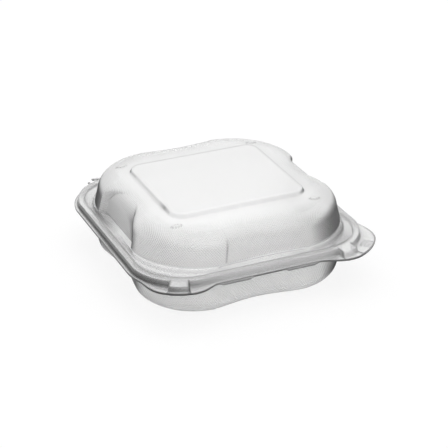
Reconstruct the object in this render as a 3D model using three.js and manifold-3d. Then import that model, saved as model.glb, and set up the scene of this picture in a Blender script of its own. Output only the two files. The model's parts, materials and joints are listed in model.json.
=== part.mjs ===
// A clear hinged takeaway container: a four-lobed base tray and a four-lobed lid, thermoformed from one
// sheet and joined by a living hinge along the back. Millimetres, +Z up, the origin at the centre of the
// foot, the front (where it snaps shut) towards -Y and the hinge towards +Y.
import * as THREE from "three";
import { mergeVertices } from "three/addons/utils/BufferGeometryUtils.js";
import Module from "manifold-3d";

const wasm = await Module();
wasm.setup();

// Driving dimensions.
const SHEET = 0.5; // thickness of the formed sheet
const GAP = 0.3; // running gap between the closed lid and the base
const RIM_WIDTH = 195; // across the rim's skirt, left to right
const RIM_DEPTH = 199; // across the rim's skirt, front to back
const RIM_CORNER = 42; // corner radius of the skirt
const RIM_HEIGHT = 42; // top of the rim's ledge above the table
const LID_RISE = 31; // top of the lid's platform above the ledge

// Rim section.
const LIP_WIDTH = 3.2; // flat lip outside the skirt
const SKIRT_HEIGHT = 5.4; // ledge to lip
const SKIRT_DRAFT = 0.8; // how far the skirt leans out at the lip
const LEDGE_WIDTH = 5.2; // flat top of the rim
const LEDGE_EDGE = 0.7; // softened edge of the ledge
const LEDGE_STEP = 1.8; // drop from the ledge to the inner floor
const STEP_RUN = 0.8; // how far the step slopes inwards
const STEP_SLACK = 0.4; // extra room behind the step, for the lid's swing

// Lobed walls.
const LID_LOBE_RADIUS = 58; // corner radius of the lid's walls
const BASE_LOBE_RADIUS = 50;
const FOOT_INSET = 7; // skirt to wall foot at mid-side
const LID_DRAFT = Math.tan(THREE.MathUtils.degToRad(10));
const DIP_REACH = 46; // half-length of the soft dip between two lobes
const LID_DIP_DEPTH = 3.2;
const BASE_DIP_DEPTH = 5;
const ALCOVE_REACH = 28; // half-width of the arched alcove at the foot
const ALCOVE_DEPTH = 4.6; // depth of the alcove at the foot
const ALCOVE_HEIGHT = 22; // height of the alcove's arch above the floor
const DIP_BLEND = 6; // height over which a wall's dips set in

// Lid top.
const PLINTH_HEIGHT = 4; // small step round the foot of each lobe
const PLINTH_SPREAD = 5; // how much tighter the plinth's corners are than the wall's
const PLINTH_EDGE = 0.6;
const SHOULDER_RADIUS = 12;
const CROWN_SLOPE = THREE.MathUtils.degToRad(5);
const PLATFORM_HALF_X = 57;
const PLATFORM_HALF_Y = 50.5;
const PLATFORM_CORNER = 10;
const PLATFORM_RISE = 3.4;
const PLATFORM_SLOPE = 2.2;
const FLAT_MARGIN = 4; // flat ring just inside the platform's edge and the bottom's heel

// Base.
const BASE_DRAFT = Math.tan(THREE.MathUtils.degToRad(8));
const BASE_HEEL_RADIUS = 13;

// Snaps and lift tab, both at the front corners.
const LEFT_SNAP_ANGLE = THREE.MathUtils.degToRad(25); // round the corner, from straight ahead
const RIGHT_SNAP_ANGLE = THREE.MathUtils.degToRad(18);
const TAB_ANGLE = THREE.MathUtils.degToRad(40);
const SNAP_WIDTH = 15;
const SNAP_REACH = 7; // how far a snap stands out of the skirt
const SNAP_ROUND = 3.5; // corner radius of a snap
const SNAP_DROP = 0.8; // top of a snap below the ledge
const SNAP_LIP_REACH = 7.6; // how far the lip swells out round the left snap
const SNAP_LIP_FLAT = 9; // half-length of that swelling's outermost stretch
const SNAP_LIP_FADE = 24; // length over which it runs back into the lip
const TAB_REACH = 10; // how far the lip swells out into the tab at the right
const TAB_FLAT = 11;
const TAB_FADE = 32;
const RIB_LENGTH = 11;
const RIB_WIDTH = 1;
const RIB_RISE = 0.5;
const RIB_PITCH = 2.8;
const RIB_COUNT = 3;

// Hinge.
const HINGE_HALF = 70; // half-length of the hinge leaves
const HINGE_REACH = 13; // skirt to fold line
const BEAD_RADIUS = 0.75; // the soft roll along the fold line

// Stacking lugs beside the platform's corners.
const LUG_ANGLE = THREE.MathUtils.degToRad(43); // round the crown's corner, from straight across
const LUG_INSET = 5.6; // middle of a lug inside the crown's edge
const LUG_LENGTH = 10;
const LUG_WIDTH = 4.5;
const LUG_RISE = 0.7;

// Facets.
const CORNER_STEPS = 8;
const SIDE_STEPS = 12;
const SHOULDER_STEPS = 4;
const ROUND_STEPS = 4; // on each small rounded corner
const BEAD_SIDES = 12;

// Limits of the drawing.
const MERGED = 1e-4; // points closer than this are one
const LEAST_RUN = 0.01; // straight run left between two rounded corners
const LEAST_ALCOVE = 1; // an alcove narrower than this is left out
const LEAST_CORNER = 1;
const MITRE_LIMIT = 0.6; // least cosine between an edge's face and its mitre

const ledgeTop = RIM_HEIGHT;
const lidLipTop = ledgeTop - SKIRT_HEIGHT;
const baseDrop = SHEET + GAP; // the base's sheet lies this far under the lid's
const foldY = RIM_DEPTH / 2 + HINGE_REACH;
const foldZ = lidLipTop - SHEET - GAP / 2;
const cornerX = RIM_WIDTH / 2 - RIM_CORNER; // centre of the rim's front corner arcs
const cornerY = -(RIM_DEPTH / 2 - RIM_CORNER);

// The swellings of the lip, placed by the distance round the corner from the end of the straight front.
const swellings = {
  left: {
    middle: LEFT_SNAP_ANGLE * RIM_CORNER,
    flat: SNAP_LIP_FLAT,
    fade: SNAP_LIP_FADE,
    reach: SNAP_LIP_REACH,
  },
  right: { middle: TAB_ANGLE * RIM_CORNER, flat: TAB_FLAT, fade: TAB_FADE, reach: TAB_REACH },
};

function swell(distance, { middle, flat, fade, reach }) {
  const t = THREE.MathUtils.clamp((Math.abs(distance - middle) - flat) / fade, 0, 1);
  return reach * (0.5 + 0.5 * Math.cos(Math.PI * t));
}

// How far the lip swells out at a point of a side's straight run. Side 0 is the front.
function swellOnSide(side, along, length) {
  if (side !== 0) return 0;
  return along < 0 ? swell(-along - length, swellings.left) : swell(along - length, swellings.right);
}

// The same in the corner at a side's end: the front ends in the right corner, and the left side in the left.
function swellInCorner(side, angle) {
  if (side === 0) return swell(angle * RIM_CORNER, swellings.right);
  if (side === 3) return swell((Math.PI / 2 - angle) * RIM_CORNER, swellings.left);
  return 0;
}

// A share from 1 at the middle of a side to 0 at its reach, with soft ends.
function softDip(along, reach) {
  const t = Math.min(Math.abs(along) / reach, 1);
  return 0.5 + 0.5 * Math.cos(Math.PI * t);
}

// A share from 1 at the middle to 0 at the reach, with crisp ends, as a shallow arc has.
function crispDip(along, reach) {
  const t = Math.min(Math.abs(along) / reach, 1);
  return 1 - t * t;
}

// How far the wall is drawn in at one place along a side, at a height above the wall's foot.
function dipAt(along, station) {
  const arch = Math.min(station.climb / ALCOVE_HEIGHT, 1);
  const reach = ALCOVE_REACH * Math.sqrt(Math.max(1 - arch * arch, 0));
  const alcove = reach > LEAST_ALCOVE ? station.alcove * crispDip(along, reach) : 0;
  const soft = station.dip * softDip(along, DIP_REACH) * Math.min(station.climb / DIP_BLEND, 1);
  return station.lobed * Math.max(alcove, soft);
}

// One closed ring: a rounded rectangle, drawn in at the middle of each side where the wall is lobed and
// swollen out at the front corners where it is the edge of the lip.
function ring(station) {
  const halfX = RIM_WIDTH / 2 - station.inset;
  const halfY = RIM_DEPTH / 2 - (station.insetY ?? station.inset);
  const radius = Math.min(station.corner, halfX, halfY);
  const points = [];
  for (let side = 0; side < 4; side++) {
    const turn = (side * Math.PI) / 2;
    const across = side % 2 ? halfX : halfY; // from the middle to this side
    const length = (side % 2 ? halfY : halfX) - radius; // half the straight run
    const out = new THREE.Vector2(Math.sin(turn), -Math.cos(turn));
    const along = new THREE.Vector2(Math.cos(turn), Math.sin(turn));
    for (let i = 0; i < SIDE_STEPS; i++) {
      const s = length * (-1 + (2 * i) / SIDE_STEPS);
      const swelling = station.swollen * swellOnSide(side, s, length);
      const reach = across - dipAt(s, station) + swelling;
      points.push(along.clone().multiplyScalar(s).addScaledVector(out, reach));
    }
    for (let i = 0; i < CORNER_STEPS; i++) {
      const angle = (i / CORNER_STEPS) * (Math.PI / 2);
      const swelling = station.swollen * swellInCorner(side, angle);
      const s = length + radius * Math.sin(angle);
      const dip = dipAt(s, station);
      const point = along.clone().multiplyScalar(s + swelling * Math.sin(angle));
      const reach = across - radius + (radius + swelling) * Math.cos(angle) - dip;
      points.push(point.addScaledVector(out, reach));
    }
  }
  return points;
}

// The other face of the sheet, one thickness along each station's normal.
function offsetStations(stations, thickness) {
  return stations.map((station, i) => {
    const before = stations[Math.max(i - 1, 0)];
    const after = stations[Math.min(i + 1, stations.length - 1)];
    const first = new THREE.Vector2(station.inset - before.inset, station.z - before.z);
    const second = new THREE.Vector2(after.inset - station.inset, after.z - station.z);
    if (first.length() === 0) first.copy(second);
    if (second.length() === 0) second.copy(first);
    const a = new THREE.Vector2(first.y, -first.x).normalize();
    const b = new THREE.Vector2(second.y, -second.x).normalize();
    const normal = a.clone().add(b).normalize();
    const stretch = thickness / Math.max(normal.dot(a), MITRE_LIMIT);
    const inset = station.inset + normal.x * stretch;
    return {
      ...station,
      inset,
      insetY: (station.insetY ?? station.inset) + normal.x * stretch,
      z: station.z + normal.y * stretch,
      corner: Math.max(station.corner - (inset - station.inset), LEAST_CORNER),
    };
  });
}

// A solid through a run of rings, closed at both ends by the flat inside the end ring.
function loft(stations) {
  const rings = stations.map(ring);
  const count = rings[0].length;
  const profile = stations.map((station, row) => new THREE.Vector2(1, row));
  profile.unshift(new THREE.Vector2(0, 0));
  profile.push(new THREE.Vector2(0, stations.length));
  const geometry = new THREE.LatheGeometry(profile, count);
  const position = geometry.getAttribute("position");
  const rows = profile.length;
  for (let step = 0; step <= count; step++)
    for (let row = 0; row < rows; row++) {
      const nearest = THREE.MathUtils.clamp(row - 1, 0, rings.length - 1);
      const onAxis = row === 0 || row === rows - 1;
      const point = onAxis ? { x: 0, y: 0 } : rings[nearest][step % count];
      position.setXYZ(step * rows + row, point.x, point.y, stations[nearest].z);
    }
  return toSolid(geometry);
}

// A shell between an upper face and the lower one, both going from the lip to the middle.
function shell(upper) {
  return loft([...offsetStations(upper, SHEET)].reverse().concat(upper));
}

// Solids for cutting and joining.
function toSolid(geometry) {
  const bare = geometry.clone();
  bare.deleteAttribute("normal");
  bare.deleteAttribute("uv");
  const merged = mergeVertices(bare, MERGED);
  const triVerts = [];
  const index = merged.index.array;
  for (let i = 0; i < index.length; i += 3) {
    const [a, b, c] = [index[i], index[i + 1], index[i + 2]];
    if (a !== b && b !== c && c !== a) triVerts.push(a, b, c);
  }
  const solid = new wasm.Manifold(
    new wasm.Mesh({
      numProp: 3,
      vertProperties: new Float32Array(merged.getAttribute("position").array),
      triVerts: new Uint32Array(triVerts),
    }),
  );
  return solid;
}

function toGeometry(solid) {
  const mesh = solid.getMesh();
  const geometry = new THREE.BufferGeometry();
  geometry.setAttribute("position", new THREE.BufferAttribute(mesh.vertProperties, mesh.numProp));
  geometry.setIndex(new THREE.BufferAttribute(mesh.triVerts, 1));
  geometry.computeVertexNormals();
  return geometry;
}

// A flat outline raised from one height to another.
function raised(shape, low, high) {
  const settings = { depth: high - low, bevelEnabled: false, curveSegments: ROUND_STEPS };
  const geometry = new THREE.ExtrudeGeometry(shape, settings);
  return geometry.translate(0, 0, low);
}

function roundedRectangle(x0, y0, x1, y1, radius) {
  const r = Math.min(radius, (x1 - x0 - LEAST_RUN) / 2, (y1 - y0 - LEAST_RUN) / 2);
  const shape = new THREE.Shape();
  shape.moveTo(x0 + r, y0);
  shape.lineTo(x1 - r, y0);
  shape.absarc(x1 - r, y0 + r, r, -Math.PI / 2, 0);
  shape.lineTo(x1, y1 - r);
  shape.absarc(x1 - r, y1 - r, r, 0, Math.PI / 2);
  shape.lineTo(x0 + r, y1);
  shape.absarc(x0 + r, y1 - r, r, Math.PI / 2, Math.PI);
  shape.lineTo(x0, y0 + r);
  shape.absarc(x0 + r, y0 + r, r, Math.PI, 1.5 * Math.PI);
  return shape;
}

// What a station has where the sheet neither swells nor dips.
const plain = { swollen: 0, lobed: 0, climb: 0, dip: 0, alcove: 0 };

// Stations of the lid's rim and, one sheet and a gap lower and tighter, of the base's.
function rimStations(drop) {
  const slack = drop > 0 ? STEP_SLACK : 0;
  const stations = [
    { inset: -LIP_WIDTH, z: lidLipTop, swollen: 1 },
    { inset: drop - SKIRT_DRAFT, z: lidLipTop },
    { inset: drop, z: ledgeTop - LEDGE_EDGE },
    { inset: drop + LEDGE_EDGE, z: ledgeTop },
    { inset: LEDGE_WIDTH - drop - slack, z: ledgeTop },
    { inset: LEDGE_WIDTH + STEP_RUN - drop - slack, z: ledgeTop - LEDGE_STEP },
  ];
  return stations.map((s) => ({
    ...plain,
    ...s,
    z: s.z - drop,
    corner: RIM_CORNER - s.inset,
  }));
}

function shoulderAngles(start, end) {
  return Array.from({ length: SHOULDER_STEPS + 1 }, (none, i) => {
    return THREE.MathUtils.lerp(start, end, i / SHOULDER_STEPS);
  });
}

function lidStations() {
  const floor = ledgeTop - LEDGE_STEP;
  const wall = (climb, corner) => ({
    inset: FOOT_INSET + climb * LID_DRAFT,
    z: floor + climb,
    corner,
    swollen: 0,
    lobed: 1,
    climb,
    dip: LID_DIP_DEPTH,
    alcove: ALCOVE_DEPTH,
  });
  const plinthCorner = LID_LOBE_RADIUS - PLINTH_SPREAD;
  const crownEdge = ledgeTop + LID_RISE - PLATFORM_RISE;
  const platformFoot = RIM_WIDTH / 2 - PLATFORM_HALF_X - PLATFORM_SLOPE;
  // The shoulder's arc starts so high on the wall that the crown's slope ends at the platform's foot.
  const lean = Math.atan(LID_DRAFT);
  const arcRise = SHOULDER_RADIUS * (Math.cos(CROWN_SLOPE) - Math.sin(lean));
  const arcRun = SHOULDER_RADIUS * (Math.cos(lean) - Math.sin(CROWN_SLOPE));
  const fall = Math.tan(CROWN_SLOPE);
  const crownRun = platformFoot - FOOT_INSET - arcRun;
  const wallTop = (crownEdge - floor - arcRise - fall * crownRun) / (1 - fall * LID_DRAFT);
  const start = wall(wallTop, LID_LOBE_RADIUS);
  const shoulder = shoulderAngles(lean, Math.PI / 2 - CROWN_SLOPE).map((angle) => {
    const run = SHOULDER_RADIUS * (Math.cos(lean) - Math.cos(angle));
    const rise = SHOULDER_RADIUS * (Math.sin(angle) - Math.sin(lean));
    const z = start.z + rise;
    return { ...start, inset: start.inset + run, z, corner: LID_LOBE_RADIUS - run, climb: z - floor };
  });
  const platform = (spread, z) => ({
    ...plain,
    inset: RIM_WIDTH / 2 - PLATFORM_HALF_X - spread,
    insetY: RIM_DEPTH / 2 - PLATFORM_HALF_Y - spread,
    z,
    corner: PLATFORM_CORNER + spread,
  });
  return [
    ...rimStations(0),
    wall(0, plinthCorner),
    wall(PLINTH_HEIGHT - PLINTH_EDGE, plinthCorner),
    wall(PLINTH_HEIGHT, LID_LOBE_RADIUS),
    wall((PLINTH_HEIGHT + wallTop) / 2, LID_LOBE_RADIUS),
    ...shoulder,
    platform(PLATFORM_SLOPE, crownEdge),
    platform(0, ledgeTop + LID_RISE),
    platform(-FLAT_MARGIN, ledgeTop + LID_RISE),
  ];
}

function baseStations() {
  const top = ledgeTop - LEDGE_STEP - baseDrop;
  const wall = (fall) => ({
    inset: FOOT_INSET + fall * BASE_DRAFT,
    z: top - fall,
    corner: BASE_LOBE_RADIUS,
    swollen: 0,
    lobed: 1,
    climb: fall,
    dip: BASE_DIP_DEPTH,
    alcove: 0,
  });
  const lean = Math.atan(BASE_DRAFT);
  const wallFall = top - SHEET - BASE_HEEL_RADIUS * (1 - Math.sin(lean));
  const start = wall(wallFall);
  const heel = shoulderAngles(lean, Math.PI / 2).map((angle) => {
    const run = BASE_HEEL_RADIUS * (Math.cos(lean) - Math.cos(angle));
    const z = start.z - BASE_HEEL_RADIUS * (Math.sin(angle) - Math.sin(lean));
    return { ...start, inset: start.inset + run, z, corner: BASE_LOBE_RADIUS - run };
  });
  const last = heel[heel.length - 1];
  return [
    ...rimStations(baseDrop),
    wall(0),
    wall(DIP_BLEND),
    wall((wallFall + DIP_BLEND) / 2),
    ...heel,
    { ...last, inset: last.inset + FLAT_MARGIN, corner: last.corner - FLAT_MARGIN },
  ];
}

// A block standing out of a front corner of the rim, along the snap's direction.
function snapBlock(side, shrink, low, high) {
  const half = SNAP_WIDTH / 2 - shrink;
  const front = RIM_CORNER + SNAP_REACH - shrink;
  const back = RIM_CORNER - LEDGE_WIDTH / 2;
  const round = Math.max(SNAP_ROUND - shrink, SHEET);
  const geometry = raised(roundedRectangle(-half, -front, half, -back, round), low, high);
  geometry.rotateZ(side < 0 ? -LEFT_SNAP_ANGLE : RIGHT_SNAP_ANGLE);
  geometry.translate(side * cornerX, cornerY, 0);
  return toSolid(geometry);
}

// Everything inside the middle of the skirt's sheet.
function insideSkirt(drop) {
  const middle = drop + SHEET / 2;
  const reach = SKIRT_HEIGHT; // beyond the skirt, above and below
  const rate = SKIRT_DRAFT / (SKIRT_HEIGHT - LEDGE_EDGE);
  const station = (above) => {
    const inset = middle + (above + LEDGE_EDGE) * rate;
    return { ...plain, inset, z: ledgeTop - drop + above, corner: RIM_CORNER - inset };
  };
  return loft([station(-SKIRT_HEIGHT - reach), station(reach)]);
}

// Both snaps: hollow blocks, open below and towards the channel inside the rim.
function withSnaps(solid, drop) {
  const low = lidLipTop - SHEET - drop;
  const top = ledgeTop - SNAP_DROP - drop;
  const core = insideSkirt(drop);
  let result = solid;
  for (const side of [-1, 1])
    result = result
      .add(snapBlock(side, drop, low, top).subtract(core))
      .subtract(snapBlock(side, drop + SHEET, low - SHEET, top - SHEET));
  return result;
}

// A hinge leaf, from the middle of the lip to its edge near the fold.
function leaf(bottom, edge) {
  const near = RIM_DEPTH / 2 + LIP_WIDTH / 2;
  const shape = roundedRectangle(-HINGE_HALF, near, HINGE_HALF, edge, SHEET);
  return toSolid(raised(shape, bottom, bottom + SHEET));
}

function bead() {
  const geometry = new THREE.CylinderGeometry(BEAD_RADIUS, BEAD_RADIUS, 2 * HINGE_HALF, BEAD_SIDES);
  geometry.rotateZ(Math.PI / 2);
  geometry.translate(0, foldY, foldZ);
  return toSolid(geometry);
}

// Grip ribs across the tab, one behind the other along the diagonal of its corner.
function ribs(bottom) {
  const reach = RIM_CORNER + LIP_WIDTH + TAB_REACH;
  let result = null;
  for (let i = 0; i < RIB_COUNT; i++) {
    const out = reach - (i + 1) * RIB_PITCH;
    const shape = roundedRectangle(
      -RIB_LENGTH / 2,
      -out - RIB_WIDTH / 2,
      RIB_LENGTH / 2,
      -out + RIB_WIDTH / 2,
      RIB_WIDTH / 2,
    );
    const geometry = raised(shape, bottom, bottom + SHEET + RIB_RISE);
    geometry.rotateZ(Math.PI / 4);
    geometry.translate(cornerX, cornerY, 0);
    result = result ? result.add(toSolid(geometry)) : toSolid(geometry);
  }
  return result;
}

// Low oval lugs on the crown that keep stacked containers apart, each the sheet itself raised a little.
function withLugs(solid) {
  const edge = lidStations().findLast(({ lobed }) => lobed === 1);
  const reach = edge.corner - LUG_INSET;
  const middleX = RIM_WIDTH / 2 - edge.inset - edge.corner + reach * Math.cos(LUG_ANGLE);
  const middleY = RIM_DEPTH / 2 - edge.inset - edge.corner + reach * Math.sin(LUG_ANGLE);
  const layers = Math.ceil(LUG_RISE / (SHEET / 2)); // so close that each overlaps the last
  let result = solid;
  for (const sx of [-1, 1])
    for (const sy of [-1, 1]) {
      const shape = roundedRectangle(
        sx * middleX - LUG_LENGTH / 2,
        sy * middleY - LUG_WIDTH / 2,
        sx * middleX + LUG_LENGTH / 2,
        sy * middleY + LUG_WIDTH / 2,
        LUG_WIDTH / 2,
      );
      const column = toSolid(raised(shape, ledgeTop + LID_RISE / 2, ledgeTop + LID_RISE));
      const patch = solid.intersect(column);
      for (let layer = 1; layer <= layers; layer++)
        result = result.add(patch.translate([0, 0, (LUG_RISE * layer) / layers]));
    }
  return result;
}

function lidSolid() {
  const lipBottom = lidLipTop - SHEET;
  const body = shell(lidStations())
    .add(leaf(lipBottom, foldY - BEAD_RADIUS - GAP))
    .add(ribs(lipBottom));
  return withLugs(withSnaps(body, 0));
}

function baseSolid() {
  const body = shell(baseStations())
    .add(leaf(lidLipTop - baseDrop - SHEET, foldY))
    .add(bead());
  return withSnaps(body, baseDrop);
}

function clearPlastic() {
  return new THREE.MeshStandardMaterial({
    color: 0xe9ecee,
    roughness: 0.18,
    metalness: 0,
    transparent: true,
    opacity: 0.45,
  });
}

function part(name, solid) {
  const mesh = new THREE.Mesh(toGeometry(solid), clearPlastic());
  mesh.name = name;
  return mesh;
}

const container = new THREE.Group();
container.add(part("base_tray", baseSolid()), part("lid", lidSolid()));

export default container;
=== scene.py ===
"""Clear hinged takeaway container: a lobed base tray and a lobed lid, formed from one textured sheet.

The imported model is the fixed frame. Each solid is replaced by a finely formed shell of the same form,
and the living hinge is a strip that bends with the lid. Sizes are in metres.
"""

import json
import logging
import math
from dataclasses import dataclass, field
from enum import Enum

import bmesh
import bpy
from mathutils import Matrix, Vector
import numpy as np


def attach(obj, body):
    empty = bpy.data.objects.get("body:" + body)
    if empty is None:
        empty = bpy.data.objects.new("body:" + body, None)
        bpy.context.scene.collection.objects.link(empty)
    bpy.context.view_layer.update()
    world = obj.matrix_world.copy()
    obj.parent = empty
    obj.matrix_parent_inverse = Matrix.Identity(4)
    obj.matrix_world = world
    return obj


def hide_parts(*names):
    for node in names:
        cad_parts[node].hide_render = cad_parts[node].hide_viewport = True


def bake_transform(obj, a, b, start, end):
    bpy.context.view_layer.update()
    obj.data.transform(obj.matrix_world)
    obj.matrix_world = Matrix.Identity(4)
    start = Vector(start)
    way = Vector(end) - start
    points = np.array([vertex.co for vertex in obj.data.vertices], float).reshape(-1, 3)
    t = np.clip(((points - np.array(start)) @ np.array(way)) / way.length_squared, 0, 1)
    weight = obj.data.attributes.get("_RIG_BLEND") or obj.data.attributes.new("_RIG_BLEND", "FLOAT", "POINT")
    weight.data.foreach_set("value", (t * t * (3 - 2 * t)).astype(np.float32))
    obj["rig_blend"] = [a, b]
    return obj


log = logging.getLogger("container")

MM = 0.001
FRAME_WIDTH_PX = 448
FAR_OUTSIDE = 9.0  # stands for a place that lies near no alcove
# SIDE_POWER sets how late the painted shade that grows towards the left or right sets in
SIDE_POWER = 3  # how late a shade that grows towards one side sets in


class Side(Enum):
    """The sides of the rim, in the order in which a ring runs round them."""

    FRONT = 0
    RIGHT = 1
    BACK = 2
    LEFT = 3

    @property
    def turn(self) -> float:
        """Angle of this side about Z from the front."""
        return self.value * math.pi / 2


class Grain(Enum):
    """How a stretch of the sheet is finished."""

    POLISHED = 0.0
    DIAMOND = 1.0
    SATIN = 0.0001


class Finish(Enum):
    """The finishes of the sheet, by their place in a piece's list of materials."""

    POLISHED = 0
    DIAMOND = 1
    CUT_EDGE = 2


def flank_share(height: float) -> float:
    """Share that is 1 half-way up a raised shape and 0 at its foot and on its top."""
    return 4.0 * height * (1.0 - height)


def spread(count: int) -> list[float]:
    """Shares from just above 0 to 1 in equal steps."""
    return [(i + 1) / count for i in range(count)]


def blend_value(a: float, b: float, share: float) -> float:
    """The value a share of the way from a to b."""
    return a + (b - a) * share


def place_piece(name: str, mesh: bmesh.types.BMesh) -> bpy.types.Object:
    """Makes an object of a bmesh and puts it in the scene.

    Args:
        name: The object's name.
        mesh: Its shape, which is freed.

    Returns:
        The object, at the origin.
    """
    data = bpy.data.meshes.new(name)
    mesh.to_mesh(data)
    mesh.free()
    piece = bpy.data.objects.new(name, data)
    bpy.context.scene.collection.objects.link(piece)
    return piece


def smooth_share(distance: float, flat: float, fade: float) -> float:
    """Share that is 1 up to the flat distance and falls softly to 0 over the fade beyond it."""
    t = min(max((abs(distance) - flat) / fade, 0.0), 1.0)
    return 0.5 + 0.5 * math.cos(math.pi * t)


@dataclass(frozen=True)
class Sheet:
    """The formed sheet that both halves are made from."""

    thickness: float = 0.5 * MM
    gap: float = 0.3 * MM
    grain_height: float = 0.42 * MM
    least_grain: float = 0.03

    @property
    def drop(self) -> float:
        """How far the base's sheet lies under the lid's where the two nest."""
        return self.thickness + self.gap


@dataclass(frozen=True)
class PaintedShadeSide:
    """A direction towards which walls get painted shade, as if little light came through them from there."""

    towards: tuple[float, float, float]
    start: float
    depth: float

    def loss(self, normal: Vector) -> float:
        """Share of painted shade where the sheet faces along a normal.

        Args:
            normal: The sheet's outward direction.

        Returns:
            A share from 0 to the side's depth.
        """
        turned = (normal.dot(Vector(self.towards)) - self.start) / (1.0 - self.start)
        turned = min(max(turned, 0.0), 1.0)
        return self.depth * turned * turned * (3.0 - 2.0 * turned)


@dataclass(frozen=True)
class Rim:
    """The snap rim that both halves share."""

    width: float = 195 * MM
    depth: float = 199 * MM
    corner: float = 42 * MM
    height: float = 42 * MM
    lip: float = 3.2 * MM
    skirt: float = 5.4 * MM
    skirt_draft: float = 0.8 * MM
    ledge: float = 5.2 * MM
    ledge_edge: float = 0.7 * MM
    step: float = 1.8 * MM
    step_run: float = 0.8 * MM
    step_slack: float = 0.4 * MM

    @property
    def lip_top(self) -> float:
        """Height of the lid's lip."""
        return self.height - self.skirt

    @property
    def floor(self) -> float:
        """Height of the lid's inner floor."""
        return self.height - self.step


@dataclass(frozen=True)
class Snap:
    """A snap boss that stands out of one front corner."""

    angle: float
    width: float = 15 * MM
    reach: float = 7 * MM
    drop: float = 0.8 * MM
    drop_growth: float = 3.0
    edge: float = 1.6 * MM


@dataclass(frozen=True)
class Swelling:
    """A stretch of the lip that swells out past its straight edge."""

    angle: float
    flat: float
    fade: float
    reach: float


@dataclass(frozen=True)
class Notch:
    """A notch in both lips beside the left snap."""

    middle: float = -44 * MM
    half: float = 2 * MM
    fade: float = 2 * MM
    depth: float = 2 * MM

    def depth_at(self, place: "Place") -> float:
        """How far the lip's edge is cut back.

        Args:
            place: The point of the lip's edge.

        Returns:
            The depth of the notch there, 0 away from it.
        """
        if place.side is not Side.FRONT or place.arc:
            return 0.0
        return self.depth * smooth_share(place.along - self.middle, self.half, self.fade)


@dataclass(frozen=True)
class LipLugs:
    """Stretches of the base's front lip that turn down."""

    middle: float = 28 * MM
    half: float = 11.5 * MM
    fade: float = 2.5 * MM
    drop: float = 1.9 * MM

    def drop_at(self, x: float, share: float) -> float:
        """How far the lip hangs down, where share is 1 at the lip's edge and 0 at the skirt."""
        return self.drop * share * share * smooth_share(abs(x) - self.middle, self.half, self.fade)


@dataclass(frozen=True)
class Ribs:
    """Grip ribs across the lift tab."""

    count: int = 3
    pitch: float = 2.8 * MM
    length: float = 11 * MM
    width: float = 1.4 * MM
    rise: float = 1.0 * MM
    end_flat: float = 1 * MM
    end_fade: float = 2 * MM
    angle: float = math.radians(45)


@dataclass(frozen=True)
class Hinge:
    """The living hinge along the back."""

    half: float = 70 * MM
    reach: float = 13 * MM
    bead: float = 0.75 * MM
    end_round: float = 1.5 * MM


@dataclass(frozen=True)
class Dips:
    """Where a lobed wall is drawn in at the middle of each side."""

    reach: float = 46 * MM
    depth: float = 3.2 * MM
    blend: float = 6 * MM
    alcove_reach: float = 31 * MM
    alcove_depth: float = 5.4 * MM
    alcove_height: float = 28 * MM
    alcove_squareness: float = 2.6
    alcove_flank: float = 0.3
    # How far inside the arch the painted shade along the crease fades out.
    alcove_hollow: float = 0.4
    front_share: float = 0.1

    def beyond_arch(self, along: float, climb: float) -> float:
        """How far a point of the wall lies outside the alcove's arch.

        Args:
            along: Place along the side, from its middle.
            climb: Height above the wall's foot.

        Returns:
            -1 at the middle of the arch's foot, 0 on its crease and more outside it.
        """
        power = self.alcove_squareness
        across = (abs(along) / self.alcove_reach) ** power
        upward = (climb / self.alcove_height) ** power
        return (across + upward) ** (1.0 / power) - 1.0

    def alcove_share(self, beyond: float) -> float:
        """Share of the alcove's depth: 1 inside its arch, falling to 0 over the flank round it."""
        return min(max(1.0 - beyond / self.alcove_flank, 0.0), 1.0) ** 2

    def crease_share(self, beyond: float) -> float:
        """How near a point is to the arch's crease, for the painted shade along it: 1 on it, falling to 0 on
        both sides.
        """
        fade = self.alcove_flank if beyond > 0 else self.alcove_hollow
        return max(1.0 - abs(beyond) / fade, 0.0)

    def at(self, along: float, climb: float, niche: float) -> float:
        """How far the wall is drawn in.

        Args:
            along: Place along the side, from its middle.
            climb: Height above the wall's foot.
            niche: Share of the alcove's depth.

        Returns:
            The distance inwards.
        """
        alcove = niche * self.alcove_depth
        soft = self.depth * smooth_share(along, 0.0, self.reach) * min(climb / self.blend, 1.0)
        return max(alcove, soft)


@dataclass
class Station:
    """One ring of the formed sheet.

    Attributes:
        inset: How far the ring lies inside the skirt at the sides.
        inset_y: The same at the front and back.
        z: Height of the ring.
        corner: Corner radius.
        lobed: Share of the dips that this ring takes.
        climb: Height above the wall's foot, for the dips.
        lip: Share of the lip's swelling and hinge leaf.
        snap: Share of the snap's reach.
        alcove: Share of the alcove's depth.
        grain: Finish of the sheet here.
        fade: Share of the grain's full height.
        shade: Painted shade here, strongest at the left, standing in for the darkness of the sheet seen
            edge-on.
        line: Painted shade of the dark edge lines here, all round.
    """

    inset: float
    z: float
    corner: float
    inset_y: float | None = None
    lobed: float = 0.0
    climb: float = 0.0
    lip: float = 0.0
    snap: float = 0.0
    alcove: float = 1.0
    grain: Grain = Grain.POLISHED
    fade: float = 1.0
    shade: float = 0.0
    line: float = 0.0


@dataclass(frozen=True)
class Place:
    """One point of a ring before it is pushed out or in.

    Attributes:
        side: Which side it belongs to; a corner belongs to the side before it.
        along: Place along the side, from its middle, on the rim's own outline.
        arc: Distance round the corner from the side's end, 0 on the straight.
        angle: Angle round the corner.
    """

    side: Side
    along: float
    arc: float
    angle: float


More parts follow.
